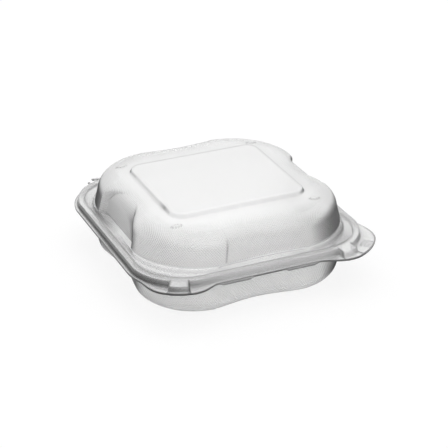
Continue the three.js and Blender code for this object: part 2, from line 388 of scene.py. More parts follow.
@dataclass
class FormedHalf:
    """What both halves of the container share: rings, grain and the sheet's thickness."""

    name: str
    body: str
    node: str
    sheet: Sheet = field(default_factory=Sheet)
    rim: Rim = field(default_factory=Rim)
    hinge: Hinge = field(default_factory=Hinge)
    ribs: Ribs = field(default_factory=Ribs)
    notch: Notch = field(default_factory=Notch)
    dips: Dips = field(default_factory=Dips)
    left_snap: Snap = field(default_factory=lambda: Snap(math.radians(25)))
    right_snap: Snap = field(default_factory=lambda: Snap(math.radians(18)))
    left_swelling: Swelling = field(
        default_factory=lambda: Swelling(math.radians(25), 9 * MM, 24 * MM, 7.6 * MM)
    )
    tab: Swelling = field(
        default_factory=lambda: Swelling(math.radians(40), 11 * MM, 32 * MM, 10 * MM)
    )
    # Painted shade: walls turned towards these sides are darkened in their colour.
    painted_shade_sides: tuple[PaintedShadeSide, ...] = (
        PaintedShadeSide(towards=(-0.86, 0.5, 0.0), start=0.7, depth=1.0),
        PaintedShadeSide(towards=(0.85, -0.53, 0.0), start=0.6, depth=0.8),
    )
    drop: float = 0.0
    # Painted shade: how much darkening the skirt keeps at the front, the diamonds' pits, the alcoves'
    # creases and the snaps' flanks get, how much is kept inside an alcove, and how much the edge lines lose
    # towards the right.
    front_shade: float = 0.2
    pit_shade: float = 0.28
    front_pit_share: float = 0.3
    flank_shade: float = 1.0
    alcove_turned: float = 0.2
    snap_flank_shade: float = 0.85
    right_line_loss: float = 0.6
    side_steps: int = 60
    corner_steps: int = 84

    def stations(self) -> list[Station]:
        """The rings from the lip's edge to the middle. Each half gives its own."""
        raise NotImplementedError

    def places(self) -> list[Place]:
        """The points of one ring.

        Returns:
            The places, counter-clockwise from the left end of the front.
        """
        half = {
            Side.FRONT: self.rim.width / 2 - self.rim.corner,
            Side.RIGHT: self.rim.depth / 2 - self.rim.corner,
        }
        half[Side.BACK] = half[Side.FRONT]
        half[Side.LEFT] = half[Side.RIGHT]
        found = []
        for side in Side:
            for i in range(self.side_steps):
                share = -1 + 2 * i / self.side_steps
                found.append(Place(side, share * half[side], 0.0, 0.0))
            for i in range(self.corner_steps):
                angle = i / self.corner_steps * math.pi / 2
                arc = max(angle * self.rim.corner, 1e-6)
                found.append(Place(side, half[side], arc, angle))
        return found

    def front_distance(self, place: Place) -> tuple[int, float] | None:
        """Distance of a place round the nearest front corner.

        Args:
            place: The point of the ring.

        Returns:
            The corner, -1 left or 1 right, and the distance from the end of the straight front
            into that corner, or None where neither is near.
        """
        straight = self.rim.width / 2 - self.rim.corner
        if place.side is Side.FRONT:
            if place.along >= 0:
                return 1, place.along - straight + place.arc
            return -1, -place.along - straight
        if place.side is Side.LEFT and place.arc > 0:
            return -1, self.rim.corner * math.pi / 2 - place.arc
        return None

    def swelling_at(self, place: Place) -> float:
        """How far the lip's edge swells out.

        Args:
            place: The point of the lip's edge.

        Returns:
            The reach of a swelling, the tab or the hinge leaf there, less the notch.
        """
        near = self.front_distance(place)
        if near is not None:
            corner, distance = near
            bulge = self.left_swelling if corner < 0 else self.tab
            middle = bulge.angle * self.rim.corner
            swelling = bulge.reach * smooth_share(distance - middle, bulge.flat, bulge.fade)
            return swelling - self.notch.depth_at(place)
        if place.side is Side.BACK:
            over = abs(place.along) + place.arc - self.hinge.half
            if over < self.hinge.end_round:
                return self.leaf_reach() * smooth_share(over, 0.0, self.hinge.end_round)
        return 0.0

    def leaf_reach(self) -> float:
        """How far the hinge leaf stands out past the lip."""
        return self.hinge.reach - self.rim.lip

    def snap_at(self, place: Place) -> float:
        """How far a snap pushes the skirt out.

        Args:
            place: The point of the ring.

        Returns:
            The snap's reach there, 0 away from both snaps.
        """
        near = self.front_distance(place)
        if near is None:
            return 0.0
        corner, distance = near
        snap = self.left_snap if corner < 0 else self.right_snap
        off = abs(distance - snap.angle * self.rim.corner)
        half = snap.width / 2 - self.drop
        if off >= half:
            return 0.0
        inside = min((half - off) / snap.edge, 1.0)
        return snap.reach * math.sqrt(1.0 - (1.0 - inside) ** 2)

    def ring(self, station: Station, places: list[Place]) -> list[tuple[Vector, float]]:
        """Points of one ring.

        Args:
            station: The ring's own sizes.
            places: Where its points lie along the rim.

        Returns:
            One point per place, with how far it lies outside an alcove of the left or right.
        """
        inset_y = station.inset if station.inset_y is None else station.inset_y
        half_x = self.rim.width / 2 - station.inset
        half_y = self.rim.depth / 2 - inset_y
        radius = min(station.corner, half_x, half_y)
        rim_half = {
            0: self.rim.width / 2 - self.rim.corner,
            1: self.rim.depth / 2 - self.rim.corner,
        }
        points = []
        for place in places:
            odd = place.side.value % 2
            across = half_x if odd else half_y
            length = (half_y if odd else half_x) - radius
            s = place.along / rim_half[odd] * length + radius * math.sin(place.angle)
            push = 0.0
            drop = 0.0
            if station.lip:
                push += station.lip * self.swelling_at(place)
            if station.snap:
                reach = self.snap_at(place)
                push = max(push, station.snap * reach)
                if station.z > self.rim.lip_top + self.rim.skirt / 2 - self.drop:
                    snap = self.left_snap
                    drop = snap.drop * min(reach / snap.reach * snap.drop_growth, 1.0)
            dip = 0.0
            beyond = FAR_OUTSIDE
            if station.alcove and self.dips.alcove_depth:
                beyond = self.dips.beyond_arch(s, station.climb)
            if station.lobed:
                niche = self.dips.alcove_share(beyond) * (1.0 if odd else self.dips.front_share)
                dip = station.lobed * self.dips.at(s, station.climb, niche)
            out = across - radius + (radius + push) * math.cos(place.angle) - dip
            side = s + push * math.sin(place.angle)
            flat = Vector((side, -out, station.z - drop))
            turned = Matrix.Rotation(place.side.turn, 3, "Z") @ flat
            points.append((turned, beyond if odd else FAR_OUTSIDE))
        return points

    def raise_detail(self, point: Vector, station: Station) -> float:
        """Extra height of the sheet at a point. Each half adds its own."""
        return 0.0

    def painted_flank_shade_at(self, point: Vector, station: Station, place: Place) -> float:
        """Painted shade on the flank of a raised shape at a point.

        Args:
            point: The point before it is raised; not used here.
            station: Its ring.
            place: Its place along the rim.

        Returns:
            A share from 0 to 1.
        """
        if not station.snap:
            return 0.0
        return self.snap_flank_shade * flank_share(self.snap_at(place) / self.left_snap.reach)

    def loft(self) -> bmesh.types.BMesh:
        """The sheet's upper face, extruded ring by ring from the lip's edge.

        Returns:
            The open sheet, closed in the middle, with its grain and painted shade noted on its vertices.
        """
        places = self.places()
        stations = self.stations()
        mesh = bmesh.new()
        for layer in ("grain", "shade", "beyond"):
            mesh.verts.layers.float.new(layer)
        bmesh.ops.create_circle(mesh, segments=len(places), radius=1.0)
        edges = list(mesh.edges)
        loop = self.in_order(mesh)
        for row, station in enumerate(stations):
            if row:
                made = bmesh.ops.extrude_edge_only(mesh, edges=edges)["geom"]
                fresh = [item for item in made if isinstance(item, bmesh.types.BMEdge)]
                edges = [edge for edge in fresh if len(edge.link_faces) == 1]
                loop = self.follow(loop, made)
            self.place_ring(mesh, loop, station, places, row)
        middle = bmesh.ops.contextual_create(mesh, geom=edges)["faces"]
        bmesh.ops.poke(mesh, faces=middle)
        return mesh

    @staticmethod
    def in_order(mesh: bmesh.types.BMesh) -> list[bmesh.types.BMVert]:
        """The circle's vertices in order, counter-clockwise."""
        return sorted(mesh.verts, key=lambda v: math.atan2(v.co.y, v.co.x))

    @staticmethod
    def follow(loop: list[bmesh.types.BMVert], made: list) -> list[bmesh.types.BMVert]:
        """The new ring's vertices.

        Args:
            loop: The old ring's vertices, in order.
            made: What the extrusion made.

        Returns:
            The vertices beside the old ones, in the same order.
        """
        fresh = {item for item in made if isinstance(item, bmesh.types.BMVert)}
        new_loop = []
        for vert in loop:
            other = next(e.other_vert(vert) for e in vert.link_edges if e.other_vert(vert) in fresh)
            new_loop.append(other)
        return new_loop

    def place_ring(
        self,
        mesh: bmesh.types.BMesh,
        loop: list[bmesh.types.BMVert],
        station: Station,
        places: list[Place],
        row: int,
    ) -> None:
        """Moves one ring of vertices to its station and notes its grain and painted shade.

        Args:
            mesh: The sheet.
            loop: The ring's vertices, in order.
            station: The ring's own sizes.
            places: Where its points lie along the rim.
            row: The ring's number, which sets the diamonds' order.
        """
        layers = mesh.verts.layers.float
        grain, shade = layers["grain"], layers["shade"]
        for column, (vert, (point, beyond)) in enumerate(zip(loop, self.ring(station, places))):
            vert[layers["beyond"]] = beyond
            outline = self.painted_flank_shade_at(point, station, places[column])
            point.z += self.raise_detail(point, station)
            vert.co = point
            vert[grain] = station.grain.value * station.fade * (1 if (row + column) % 2 else -1)
            # Painted shade: the skirt darkens towards the left, the edge lines fade towards the right, and
            # the flanks of raised shapes are darkened.
            leftward = min(max(-point.x / (self.rim.width / 2), 0.0), 1.0) ** SIDE_POWER
            rightward = min(max(point.x / (self.rim.width / 2), 0.0), 1.0) ** SIDE_POWER
            turned = station.shade * (self.front_shade + (1 - self.front_shade) * leftward)
            line = station.line * (1.0 - self.right_line_loss * rightward)
            vert[shade] = max(turned, line, outline)

    def paint_side_shades(self, mesh: bmesh.types.BMesh) -> None:
        """Paints shade onto the walls where they face the sides from which little light comes, along the
        alcoves' creases and in the diamonds' pits.

        Args:
            mesh: The sheet, before its grain is pressed.
        """
        layers = mesh.verts.layers.float
        grain, shade, beyond = layers["grain"], layers["shade"], layers["beyond"]
        mesh.normal_update()
        for vert in mesh.verts:
            if vert[grain]:
                # Painted shade by the way the wall faces, weaker inside an alcove, and along each alcove's
                # crease, strongest at its front end.
                turned = max(side.loss(vert.normal) for side in self.painted_shade_sides)
                if vert[beyond] <= 0.0:
                    turned *= self.alcove_turned
                upright = max(1.0 - vert.normal.z, 0.0)
                forward = min(max(0.5 - vert.co.y / (2 * self.dips.alcove_reach), 0.0), 1.0)
                crease = self.dips.crease_share(vert[beyond])
                flank = self.flank_shade * crease * upright * forward
                # Painted shade in the diamonds' pits, stronger where the wall faces sideways.
                sideways = blend_value(self.front_pit_share, 1.0, vert.normal.x**2)
                pit = self.pit_shade * max(-vert[grain], 0.0) * sideways
                vert[shade] = min(max(turned, flank, vert[shade]) + pit, 1.0)

    def press_grain(self, mesh: bmesh.types.BMesh) -> None:
        """Presses the diamonds into the sheet along its own normals.

        Args:
            mesh: The sheet, with its normals pointing out.
        """
        layer = mesh.verts.layers.float["grain"]
        shifts = [(v, v.normal * v[layer] * self.sheet.grain_height) for v in mesh.verts if v[layer]]
        for vert, shift in shifts:
            vert.co += shift

    def cut_diamonds(self, mesh: bmesh.types.BMesh) -> None:
        """Splits each pressed face between its two raised corners, so that ridges cross round a pit.

        Args:
            mesh: The pressed sheet.
        """
        layer = mesh.verts.layers.float["grain"]
        for face in list(mesh.faces):
            raised = [v for v in face.verts if v[layer] > self.sheet.least_grain]
            if len(face.verts) == 4 and len(raised) == 2:
                bmesh.utils.face_split(face, *raised)

    def build(self) -> bpy.types.Object:
        """Builds the half and gives the sheet its thickness.

        Returns:
            The finished piece, which rides on its body and stands for its solid.
        """
        mesh = self.loft()
        bmesh.ops.recalc_face_normals(mesh, faces=list(mesh.faces))
        top = max(mesh.faces, key=lambda f: f.calc_area())
        if top.normal.z < 0:
            bmesh.ops.reverse_faces(mesh, faces=list(mesh.faces))
        self.paint_side_shades(mesh)
        self.press_grain(mesh)
        self.cut_diamonds(mesh)
        self.dress(mesh)
        piece = place_piece(self.name, mesh)
        wall = piece.modifiers.new("wall", "SOLIDIFY")
        wall.thickness = self.sheet.thickness
        wall.offset = -1.0
        wall.use_even_offset = False
        wall.material_offset_rim = Finish.CUT_EDGE.value
        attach(piece, self.body)
        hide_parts(self.node)
        return piece

    def dress(self, mesh: bmesh.types.BMesh) -> None:
        """Gives each face its finish, flat where it is pressed and smooth elsewhere.

        Args:
            mesh: The pressed sheet.
        """
        layer = mesh.verts.layers.float["grain"]
        for face in mesh.faces:
            pressed = max(abs(v[layer]) for v in face.verts)
            face.smooth = pressed <= self.sheet.least_grain
            face.material_index = Finish.DIAMOND.value if pressed > 0 else Finish.POLISHED.value
        for vert in mesh.verts:
            vert[layer] = abs(vert[layer])


@dataclass
class RimRows:
    """How finely the rim's bands are ruled."""

    lip: int = 16
    skirt: int = 4
    edge: int = 2
    ledge: int = 3
    step: int = 2


@dataclass(frozen=True)
class RimShade:
    """Painted shade on the rim's bands, standing in for the sheet seen edge-on and the dark gap between the
    lips.
    """

    lip_edge: float = 0.5
    lip_root: float = 0.8
    root_power: int = 4
    skirt_top: float = 0.5
    line: float = 0.9
    line_flat: float = 0.05
    line_fade: float = 0.1


@dataclass
class Half(FormedHalf):
    """A half with its rim, common to the lid and the base."""

    rows: RimRows = field(default_factory=RimRows)
    rim_shade: RimShade = field(default_factory=RimShade)
    snap_overhang: float = 1.15

    def rim_stations(self) -> list[Station]:
        """The rim's rings.

        Returns:
            Rings from the lip's edge over the skirt and ledge to the inner floor.
        """
        rim, drop = self.rim, self.drop
        slack = rim.step_slack if drop else 0.0
        lip = rim.lip_top - drop
        top = rim.height - drop

        def station(inset: float, z: float, **more: float) -> Station:
            """One ring of the rim, with its corner parallel to the skirt's."""
            return Station(inset, z, rim.corner - inset, **more)

        foot = drop - rim.skirt_draft
        # Painted shade for the lip's edge and root, the skirt and the dark edge lines.
        dark = self.rim_shade
        edge = {"lip": 1.0, "snap": self.snap_overhang, "shade": dark.lip_edge, "line": dark.line}
        found = [station(-rim.lip, lip, **edge)]
        for share in spread(self.rows.lip):
            inset = blend_value(-rim.lip, foot, share)
            shade = dark.lip_root * share**dark.root_power
            line = dark.line * smooth_share(share, dark.line_flat, dark.line_fade)
            found.append(station(inset, lip, lip=1.0 - share, snap=1.0, shade=shade, line=line))
        for share in spread(self.rows.skirt):
            z = blend_value(lip, top - rim.ledge_edge, share)
            inset = blend_value(foot, drop, share)
            found.append(station(inset, z, snap=1.0, shade=1.0 - dark.skirt_top * share * share))
        for share in spread(self.rows.edge):
            angle = share * math.pi / 2
            inset = drop + rim.ledge_edge * (1 - math.cos(angle))
            z = top - rim.ledge_edge * (1 - math.sin(angle))
            found.append(station(inset, z, snap=1.0))
        inner = rim.ledge - drop - slack
        for share in spread(self.rows.ledge):
            inset = blend_value(drop + rim.ledge_edge, inner, share)
            found.append(station(inset, top, snap=0.0))
        for share in spread(self.rows.step):
            z = blend_value(top, top - rim.step, share)
            found.append(station(inner + rim.step_run * share, z))
        return found


@dataclass
class Lid(Half):
    """The domed lid with its platform, lift tab and stacking lugs."""

    lobe: float = 58 * MM
    foot: float = 7 * MM
    draft: float = math.tan(math.radians(10))
    rise: float = 31 * MM
    plinth: float = 4 * MM
    plinth_spread: float = 5 * MM
    plinth_edge: float = 0.6 * MM
    shoulder: float = 12 * MM
    crown_slope: float = math.radians(5)
    platform_x: float = 57 * MM
    platform_y: float = 50.5 * MM
    platform_corner: float = 10 * MM
    least_corner: float = 1 * MM
    platform_rise: float = 3.4 * MM
    platform_slope: float = 2.2 * MM
    lug_x: float = 59.8 * MM
    lug_y: float = 59.7 * MM
    lug_length: float = 10 * MM
    lug_width: float = 4.5 * MM
    lug_rise: float = 1.0 * MM
    lug_flat: float = 0.55
    lug_fade: float = 0.6
    # Painted shade on the flanks of the stacking lugs and of the ribs.
    lug_flank_shade: float = 0.3
    rib_flank_shade: float = 0.3
    shoulder_fade: float = 0.35
    crown_fade: float = 0.6
    crown_end: float = 0.7
    platform_rings: tuple[float, ...] = (3 * MM, 12 * MM, 30 * MM)
    floor_rows: int = 3
    plinth_rows: int = 3
    edge_rows: int = 4
    wall_rows: int = 13
    shoulder_rows: int = 14
    crown_rows: int = 14

    def stations(self) -> list[Station]:
        """The lid's rings.

        Returns:
            The rim's rings, then the floor, plinth, wall, shoulder, crown and platform.
        """
        floor = self.rim.floor
        found = self.rim_stations()

        def wall(climb: float, corner: float, grain: Grain, alcove: float = 1.0) -> Station:
            """One ring of the wall at a height above its foot."""
            inset = self.foot + climb * self.draft
            shared = {"lobed": 1.0, "climb": climb, "alcove": alcove, "grain": grain}
            return Station(inset, floor + climb, corner, **shared)

        tight = self.lobe - self.plinth_spread
        crown_edge = self.rim.height + self.rise - self.platform_rise
        platform_foot = self.rim.width / 2 - self.platform_x - self.platform_slope
        lean = math.atan(self.draft)
        arc_rise = self.shoulder * (math.cos(self.crown_slope) - math.sin(lean))
        arc_run = self.shoulder * (math.cos(lean) - math.sin(self.crown_slope))
        fall = math.tan(self.crown_slope)
        crown_run = platform_foot - self.foot - arc_run
        top = (crown_edge - floor - arc_rise - fall * crown_run) / (1 - fall * self.draft)
        last = found[-1]
        foot = wall(0.0, tight, Grain.POLISHED)
        for share in spread(self.floor_rows):
            inset = blend_value(last.inset, foot.inset, share)
            corner = blend_value(last.corner, foot.corner, share)
            found.append(Station(inset, floor, corner, lobed=share, alcove=0.0))
        for share in spread(self.plinth_rows):
            climb = (self.plinth - self.plinth_edge) * share
            found.append(wall(climb, tight, Grain.POLISHED, alcove=0.0))
        found.append(wall(self.plinth, self.lobe, Grain.POLISHED, alcove=0.0))
        found.append(wall(self.plinth, self.lobe, Grain.POLISHED))
        for share in spread(self.wall_rows):
            found.append(wall(blend_value(self.plinth, top, share), self.lobe, Grain.DIAMOND))
        start = found[-1]
        end = math.pi / 2 - self.crown_slope
        for share in spread(self.shoulder_rows):
            angle = blend_value(lean, end, share)
            run = self.shoulder * (math.cos(lean) - math.cos(angle))
            z = start.z + self.shoulder * (math.sin(angle) - math.sin(lean))
            ring = Station(start.inset + run, z, self.lobe - run, lobed=1.0, climb=z - floor)
            ring.grain = Grain.DIAMOND
            ring.fade = 1.0 - self.shoulder_fade * share
            found.append(ring)
        edge = found[-1]
        platform = self.platform(self.platform_slope, crown_edge)
        for share in spread(self.crown_rows):
            inset = blend_value(edge.inset, platform.inset, share)
            inset_y = blend_value(edge.inset, platform.inset_y, share)
            z = blend_value(edge.z, platform.z, share)
            corner = blend_value(edge.corner, platform.corner, share)
            ring = Station(inset, z, corner, inset_y, lobed=1.0 - share, climb=edge.climb)
            ring.grain = Grain.SATIN
            if share < self.crown_end:
                ring.grain = Grain.DIAMOND
                ring.fade = self.crown_fade * (1.0 - share / self.crown_end)
            found.append(ring)
        for share in spread(self.edge_rows):
            z = crown_edge + self.platform_rise * (0.5 - 0.5 * math.cos(math.pi * share))
            found.append(self.platform(self.platform_slope * (1 - share), z))
        for inner in self.platform_rings:
            found.append(self.platform(-inner, self.rim.height + self.rise))
        return found

    def platform(self, out: float, z: float) -> Station:
        """A ring of the platform, this far outside its top edge."""
        inset = self.rim.width / 2 - self.platform_x - out
        inset_y = self.rim.depth / 2 - self.platform_y - out
        corner = max(self.platform_corner + out, self.least_corner)
        return Station(inset, z, corner, inset_y, grain=Grain.SATIN)

    def leaf_reach(self) -> float:
        """The lid's leaf stops short of the fold."""
        return self.hinge.reach - self.rim.lip - self.hinge.bead - self.sheet.gap

    def raise_detail(self, point: Vector, station: Station) -> float:
        """Height of the tab's ribs and of the stacking lugs.

        Args:
            point: The point before it is raised.
            station: Its ring.

        Returns:
            The rise there, 0 away from both.
        """
        if station.lip:
            return self.rib_rise(point)
        if station.z > self.rim.height + self.rise / 2:
            return self.lug_height(point)
        return 0.0

    def painted_flank_shade_at(self, point: Vector, station: Station, place: Place) -> float:
        """Adds painted shade on the flanks of the ribs and of the stacking lugs to that on the snaps'
        flanks.

        Args:
            point: The point before it is raised.
            station: Its ring.
            place: Its place along the rim.

        Returns:
            A share from 0 to 1.
        """
        snap = super().painted_flank_shade_at(point, station, place)
        rise = self.raise_detail(point, station)
        if station.lip:
            return max(snap, self.rib_flank_shade * flank_share(rise / self.ribs.rise))
        return max(snap, self.lug_flank_shade * flank_share(rise / self.lug_rise))

    def rib_rise(self, point: Vector) -> float:
        """Height of the grip ribs on the lip.

        Args:
            point: The point of the lip.

        Returns:
            The rise there, 0 between the ribs and away from the tab.
        """
        centre = Vector((self.rim.width / 2 - self.rim.corner, self.rim.corner - self.rim.depth / 2))
        offset = Vector((point.x, point.y)) - centre
        direction = Vector((math.sin(self.ribs.angle), -math.cos(self.ribs.angle)))
        out = offset.dot(direction)
        side = offset.x * direction.y - offset.y * direction.x
        edge = self.rim.corner + self.rim.lip + self.tab.reach
        rise = 0.0
        for i in range(self.ribs.count):
            away = out - (edge - (i + 1) * self.ribs.pitch)
            across = smooth_share(away, 0.0, self.ribs.width)
            flat = self.ribs.length / 2 - self.ribs.end_flat
            ends = smooth_share(side, flat, self.ribs.end_fade)
            rise = max(rise, self.ribs.rise * across * ends)
        return rise

    def lug_height(self, point: Vector) -> float:
        """Height of the oval lugs beside the platform's corners.

        Args:
            point: The point of the crown.

        Returns:
            The rise there, 0 away from the lugs.
        """
        across = (abs(point.x) - self.lug_x) / (self.lug_length / 2)
        along = (abs(point.y) - self.lug_y) / (self.lug_width / 2)
        return self.lug_rise * smooth_share(math.hypot(across, along), self.lug_flat, self.lug_fade)


@dataclass
class Base(Half):
    """The base tray."""

    lobe: float = 50 * MM
    foot: float = 7 * MM
    draft: float = math.tan(math.radians(8))
    heel: float = 13 * MM
    lip_lugs: LipLugs = field(default_factory=LipLugs)
    # Painted shade on the front lip's turned-down lugs.
    lug_flank_shade: float = 0.9
    grain_share: float = 0.6
    grain_start: float = 0.1
    grain_end: float = 0.7
    bottom_run: float = 30 * MM
    bottom_corner: float = 8 * MM
    wall_rows: int = 18
    heel_rows: int = 14
    bottom_rows: int = 3

    def stations(self) -> list[Station]:
        """The tray's rings.

        Returns:
            The rim's rings, then the wall, heel and bottom.
        """
        found = self.rim_stations()
        top = self.rim.floor - self.drop
        lean = math.atan(self.draft)
        fall = top - self.sheet.thickness - self.heel * (1 - math.sin(lean))
        for share in spread(self.wall_rows):
            down = fall * share
            ring = Station(self.foot + down * self.draft, top - down, self.lobe, lobed=1.0, climb=down)
            ring.grain = Grain.DIAMOND if share > self.grain_start else Grain.POLISHED
            ring.fade = self.grain_share
            found.append(ring)
        start = found[-1]
        for share in spread(self.heel_rows):
            angle = blend_value(lean, math.pi / 2, share)
            run = self.heel * (math.cos(lean) - math.cos(angle))
            z = start.z - self.heel * (math.sin(angle) - math.sin(lean))
            ring = Station(start.inset + run, z, self.lobe - run, lobed=1.0, climb=fall)
            ring.grain = Grain.DIAMOND if share < self.grain_end else Grain.POLISHED
            ring.fade = self.grain_share * (1.0 - share * share)
            found.append(ring)
        last = found[-1]
        for share in spread(self.bottom_rows):
            inward = self.bottom_run * share
            corner = max(last.corner - inward, self.bottom_corner)
            found.append(Station(last.inset + inward, last.z, corner, lobed=1.0 - share, climb=fall))
        return found

    def painted_flank_shade_at(self, point: Vector, station: Station, place: Place) -> float:
        """Adds painted shade on the turned-down lugs of the front lip to that on the snaps' flanks.

        Args:
            point: The point before it is lowered.
            station: Its ring.
            place: Its place along the rim.

        Returns:
            A share from 0 to 1.
        """
        snap = super().painted_flank_shade_at(point, station, place)
        drop = -self.raise_detail(point, station)
        return max(snap, self.lug_flank_shade * drop / self.lip_lugs.drop)

    def raise_detail(self, point: Vector, station: Station) -> float:
        """Drop of the lugs along the front lip.

        Args:
            point: The point before it is lowered.
            station: Its ring.

        Returns:
            The drop there as a negative rise, 0 away from the lugs.
        """
        if station.lip and point.y < 0:
            return -self.lip_lugs.drop_at(point.x, station.lip)
        return 0.0


@dataclass
class LivingHinge:
    """The strip of film that folds at the back and joins the two leaves."""

    sheet: Sheet
    hinge: Hinge
    axis: Vector
    name: str = "hinge_film"
    lap: float = 1.2 * MM
    film_share: float = 0.7
    bend_share: float = 0.9
    arc_steps: int = 12
    length_steps: int = 40

    @property
    def middle(self) -> float:
        """Half the distance between the two leaves' middles."""
        return self.sheet.gap / 2 + self.sheet.thickness / 2

    def profile(self) -> list[Vector]:
        """The film's profile round the fold.

        Returns:
            Points about the axis, from the lower leaf round the fold to the upper one.
        """
        overlap = self.hinge.bead + self.sheet.gap + self.lap
        points = [Vector((0.0, -overlap, -self.middle))]
        for i in range(self.arc_steps + 1):
            angle = -math.pi / 2 + math.pi * i / self.arc_steps
            y, z = self.middle * math.cos(angle), self.middle * math.sin(angle)
            points.append(Vector((0.0, y, z)))
        points.append(Vector((0.0, -overlap, self.middle)))
        return points

    def build(self) -> bpy.types.Object:
        """Builds the fold round its axis and bends it with the lid.

        Returns:
            The finished film, which bends between the two bodies.
        """
        hinge, axis = self.hinge, self.axis
        mesh = bmesh.new()
        verts = []
        for point in self.profile():
            place = axis + point
            place.x = -hinge.half + hinge.end_round
            verts.append(mesh.verts.new(place))
        edges = [mesh.edges.new(pair) for pair in zip(verts, verts[1:])]
        step = 2 * (hinge.half - hinge.end_round) / self.length_steps
        for _ in range(self.length_steps):
            made = bmesh.ops.extrude_edge_only(mesh, edges=edges)["geom"]
            fresh = [item for item in made if isinstance(item, bmesh.types.BMVert)]
            bmesh.ops.translate(mesh, verts=fresh, vec=(step, 0.0, 0.0))
            wanted = set(fresh)
            edges = [
                item
                for item in made
                if isinstance(item, bmesh.types.BMEdge) and set(item.verts) <= wanted
            ]
        bmesh.ops.recalc_face_normals(mesh, faces=list(mesh.faces))
        outer = max(mesh.faces, key=lambda f: f.calc_center_median().y)
        if outer.normal.y < 0:
            bmesh.ops.reverse_faces(mesh, faces=list(mesh.faces))
        for face in mesh.faces:
            face.smooth = True
        piece = place_piece(self.name, mesh)
        wall = piece.modifiers.new("wall", "SOLIDIFY")
        wall.thickness = self.sheet.thickness * self.film_share
        wall.offset = 0.0
        reach = Vector((0.0, 0.0, self.middle * self.bend_share))
        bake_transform(piece, "base", "lid", start=tuple(axis - reach), end=tuple(axis + reach))
        return piece


def grey(value: float) -> tuple[float, float, float, float]:
    """A grey of this brightness."""
    return (value, value, value, 1.0)


def math_node(
    tree: bpy.types.NodeTree, operation: str, *values: bpy.types.NodeSocket | float
) -> bpy.types.NodeSocket:
    """Adds one sum to a node tree.

    Args:
        tree: The tree.
        operation: The kind of sum.
        values: Its inputs, each a socket or a plain number.

    Returns:
        The socket with the result.
    """
    node = tree.nodes.new("ShaderNodeMath")
    node.operation = operation
    for socket, value in zip(node.inputs, values):
        if isinstance(value, bpy.types.NodeSocket):
            tree.links.new(value, socket)
        else:
            socket.default_value = value
    return node.outputs["Value"]


def range_node(
    tree: bpy.types.NodeTree,
    value: bpy.types.NodeSocket,
    source: tuple[float, float] = (0.0, 1.0),
    target: tuple[float, float] = (0.0, 1.0),
    smooth: bool = False,
) -> bpy.types.NodeSocket:
    """Adds a change of range to a node tree.

    Args:
        tree: The tree.
        value: The socket whose value is changed.
        source: The range that it comes from.
        target: The range that it is brought to.
        smooth: Whether both ends are soft.

    Returns:
        The socket with the result.
    """
    node = tree.nodes.new("ShaderNodeMapRange")
    if smooth:
        node.interpolation_type = "SMOOTHSTEP"
    node.inputs["From Min"].default_value = source[0]
    node.inputs["From Max"].default_value = source[1]
    node.inputs["To Min"].default_value = target[0]
    node.inputs["To Max"].default_value = target[1]
    tree.links.new(value, node.inputs["Value"])
    return node.outputs["Result"]


